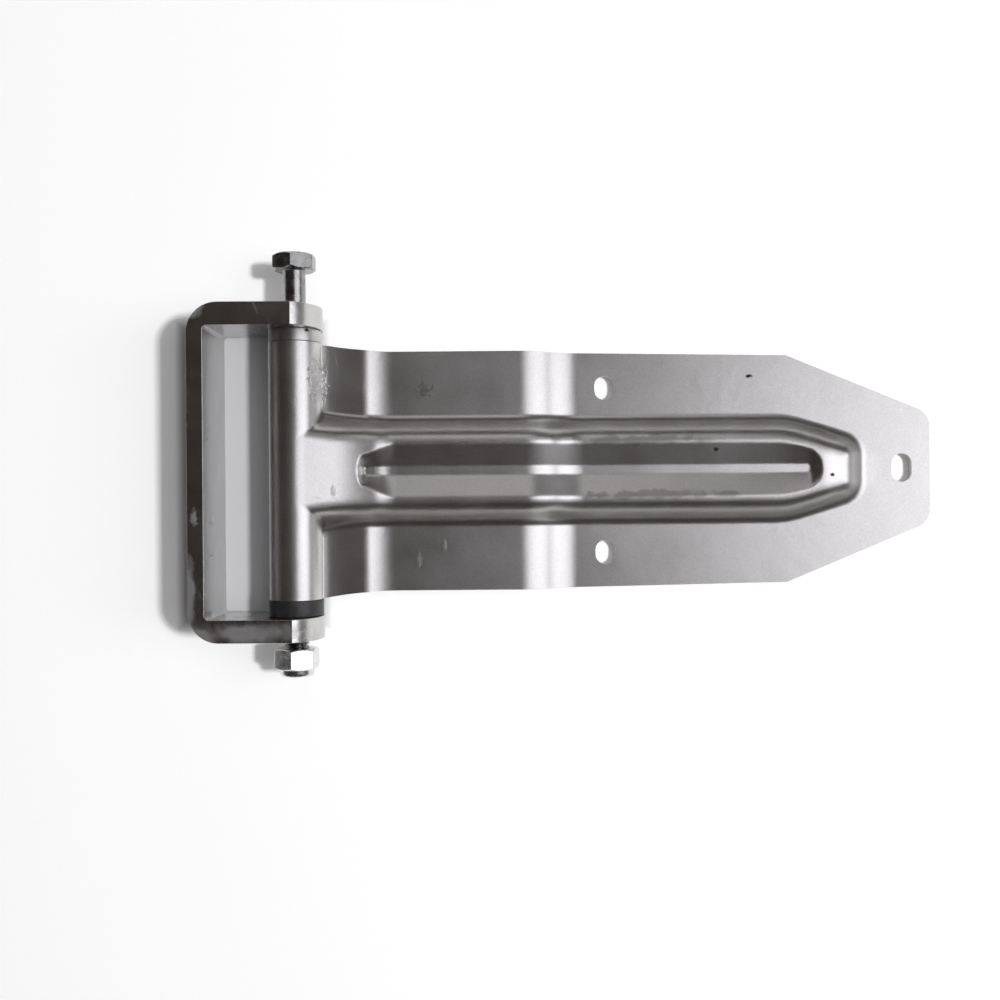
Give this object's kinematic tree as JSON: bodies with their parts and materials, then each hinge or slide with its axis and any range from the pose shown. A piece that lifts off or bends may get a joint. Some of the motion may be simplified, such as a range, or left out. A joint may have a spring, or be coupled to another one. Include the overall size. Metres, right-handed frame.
{
  "type": "truck door hinge",
  "caption": "Strap hinge for a truck's rear door: U-shaped bar bracket, ribbed pressed strap with a rolled barrel, long bolt and lock nut.",
  "frame": {"origin": "middle of the bracket's flat back face, level with the bolt's axis", "axes": "+X along the strap to its tip, +Y along the bolt towards its head, +Z away from the face that lies on the door"},
  "size_m": [0.3009, 0.1699, 0.035],
  "materials": {
    "bracket_steel": "bent bar, satin, lightly scuffed",
    "strap_steel": "pressed sheet, satin, fine handling marks",
    "turned_steel": "turned, dulled",
    "plated_steel": "bright plated",
    "black_nylon": "moulded, slight sheen",
    "natural_nylon": "moulded, off-white"
  },
  "bodies": {
    "frame": {"bracket": "bracket_steel", "thrust_collar": "turned_steel"},
    "leaf": {"strap": "strap_steel", "upper_bush": "natural_nylon", "lower_bush": "natural_nylon", "thrust_washer": "black_nylon"},
    "pin": {"hinge_bolt": "plated_steel", "lock_nut": "plated_steel", "nut_insert": "natural_nylon"}
  },
  "joints": [
    {"name": "strap_swing", "type": "hinge", "parent": "frame", "child": "leaf", "pos_m": [0.0392, 0.0007, 0], "axis": [0, -1, 0], "range_deg": [-130, 145]},
    {"name": "bolt_slide", "type": "slide", "parent": "frame", "child": "pin", "axis": [0, 1, 0], "range_m": [-0.015, 0.0039]}
  ]
}
